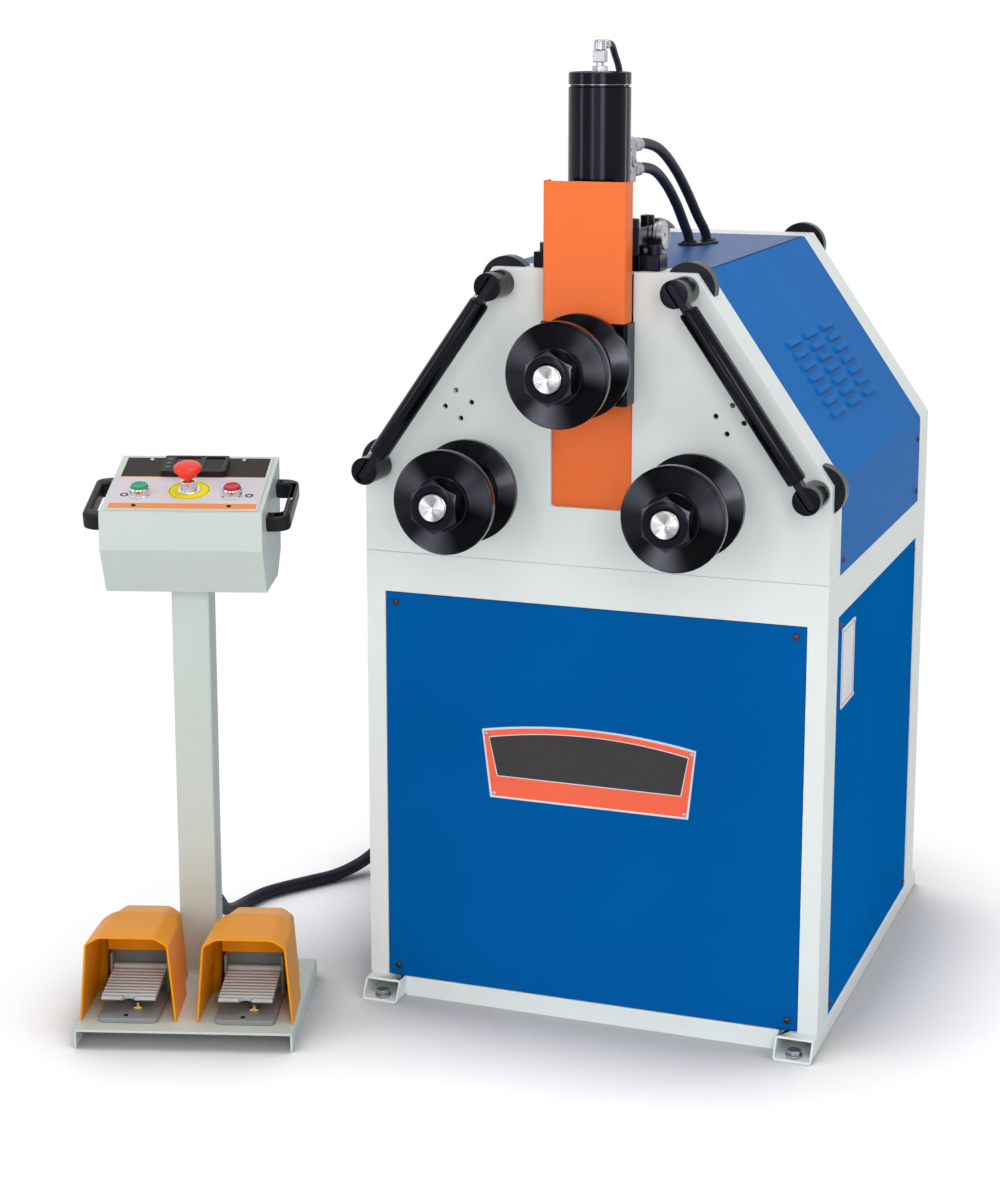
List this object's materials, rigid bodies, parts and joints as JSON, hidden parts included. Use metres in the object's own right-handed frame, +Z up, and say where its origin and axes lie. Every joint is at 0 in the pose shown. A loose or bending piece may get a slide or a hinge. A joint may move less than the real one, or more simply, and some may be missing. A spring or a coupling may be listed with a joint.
{
  "type": "hydraulic roll bender",
  "caption": "Profile bending machine: driven rolls and a hydraulic top roll on a cabinet with sloping covers, and a separate control stand with a console and foot pedals.",
  "frame": {"origin": "on the floor, under the middle of the bounding box of everything but the cord", "axes": "+Z up, +Y back from the roll side, +X to the right seen from the rolls"},
  "size_m": [1.1898, 1.1602, 1.5073],
  "materials": {
    "frame_white": "semi-gloss off-white paint",
    "panel_blue": "semi-gloss blue paint",
    "cover_orange": "semi-gloss orange paint",
    "black_steel": "glossy black finish on steel",
    "bright_steel": "machined",
    "zinc": "bright plated",
    "casting": "grey paint on cast iron",
    "stand_grey": "light grey paint",
    "panel_aluminium": "satin with printed colour zones",
    "guard_yellow": "yellow-orange paint",
    "black_plastic": "matt black",
    "hose_rubber": "dark rubber",
    "button_red": "red",
    "button_green": "green",
    "button_dark_red": "dark red"
  },
  "bodies": {
    "machine": {"base_frame": "frame_white", "bearing_housing_left": "casting", "bearing_housing_right": "casting", "bleed_fitting": "zinc", "bleed_hose": "hose_rubber", "cabinet_gland": "black_plastic", "console_box": "stand_grey", "console_handle_left": "black_plastic", "console_handle_right": "black_plastic", "console_panel": "panel_aluminium", "control_cord": "hose_rubber", "cylinder_barrel": "black_steel", "cylinder_flange": "black_steel", "display_unit": "black_plastic", "front_housing": "frame_white", "front_panel": "panel_blue", "gear_motor": "casting", "guide_rail_left": "bright_steel", "guide_rail_right": "bright_steel", "hydraulic_tank": "casting", "inner_plate": "casting", "pedal_housing_left": "guard_yellow", "pedal_housing_right": "guard_yellow", "pressure_gauge": "zinc", "pressure_hoses": "hose_rubber", "pump_motor": "casting", "rear_housing": "frame_white", "rear_panel": "panel_blue", "side_bar_left": "black_steel", "side_bar_right": "black_steel", "side_cover_left": "panel_blue", "side_cover_right": "panel_blue", "side_panel_left": "panel_blue", "side_panel_right": "panel_blue", "stand_frame": "stand_grey", "stand_gland": "black_plastic", "top_cover": "panel_blue", "valve_manifold": "zinc"},
    "left_roll_train": {"lower_roll_left": "black_steel", "lower_shaft_left": "bright_steel", "roll_nut_left": "black_steel", "roll_gear_left": "bright_steel"},
    "right_roll_train": {"lower_roll_right": "black_steel", "lower_shaft_right": "bright_steel", "roll_nut_right": "black_steel", "roll_gear_right": "bright_steel"},
    "pinion": {"drive_pinion": "bright_steel"},
    "carriage": {"bearing_block": "black_steel", "lower_cover": "cover_orange", "upper_cover": "cover_orange", "piston_rod": "bright_steel"},
    "top_roll_train": {"top_roll": "black_steel", "top_shaft": "bright_steel", "roll_nut_top": "black_steel"},
    "start_button": {"start_button": "button_green"},
    "stop_button": {"stop_button": "button_dark_red"},
    "emergency_button": {"emergency_button": "button_red"},
    "left_tread": {"pedal_tread_left": "zinc"},
    "right_tread": {"pedal_tread_right": "zinc"}
  },
  "joints": [
    {"name": "left_roll_spin", "type": "hinge", "parent": "machine", "child": "left_roll_train", "pos_m": [0.03925, -0.21494, 0.8436], "axis": [0, 1, 0], "continuous": true},
    {"name": "right_roll_spin", "type": "hinge", "parent": "machine", "child": "right_roll_train", "pos_m": [0.38805, -0.21494, 0.8436], "axis": [0, 1, 0], "continuous": true},
    {"name": "pinion_spin", "type": "hinge", "parent": "machine", "child": "pinion", "pos_m": [0.21365, -0.21494, 0.79905], "axis": [0, 1, 0], "continuous": true},
    {"name": "carriage_slide", "type": "slide", "parent": "machine", "child": "carriage", "axis": [0, 0, -1], "range_m": [0, 0.12]},
    {"name": "top_roll_spin", "type": "hinge", "parent": "carriage", "child": "top_roll_train", "pos_m": [0.21365, -0.21494, 1.0394], "axis": [0, 1, 0], "continuous": true},
    {"name": "start_button_press", "type": "slide", "parent": "machine", "child": "start_button", "axis": [-0.077, 0.2443, -0.9666], "range_m": [0, 0.003], "stiffness_N_per_m": 300, "springref_m": -0.003},
    {"name": "stop_button_press", "type": "slide", "parent": "machine", "child": "stop_button", "axis": [-0.077, 0.2443, -0.9666], "range_m": [0, 0.003], "stiffness_N_per_m": 300, "springref_m": -0.003},
    {"name": "emergency_button_press", "type": "slide", "parent": "machine", "child": "emergency_button", "axis": [-0.077, 0.2443, -0.9666], "range_m": [0, 0.005], "stiffness_N_per_m": 600, "springref_m": -0.003},
    {"name": "left_tread_press", "type": "hinge", "parent": "machine", "child": "left_tread", "pos_m": [-0.45578, -0.42133, 0.076], "axis": [0.9537, 0.3007, 0], "range_deg": [0, 8], "stiffness_Nm_per_rad": 3, "springref_deg": -11.46},
    {"name": "right_tread_press", "type": "hinge", "parent": "machine", "child": "right_tread", "pos_m": [-0.28411, -0.3672, 0.076], "axis": [0.9537, 0.3007, 0], "range_deg": [0, 8], "stiffness_Nm_per_rad": 3, "springref_deg": -11.46}
  ],
  "couplings": [
    {"joint": "right_roll_spin", "follows": "left_roll_spin", "ratio": 1},
    {"joint": "pinion_spin", "follows": "left_roll_spin", "ratio": -1.25}
  ]
}
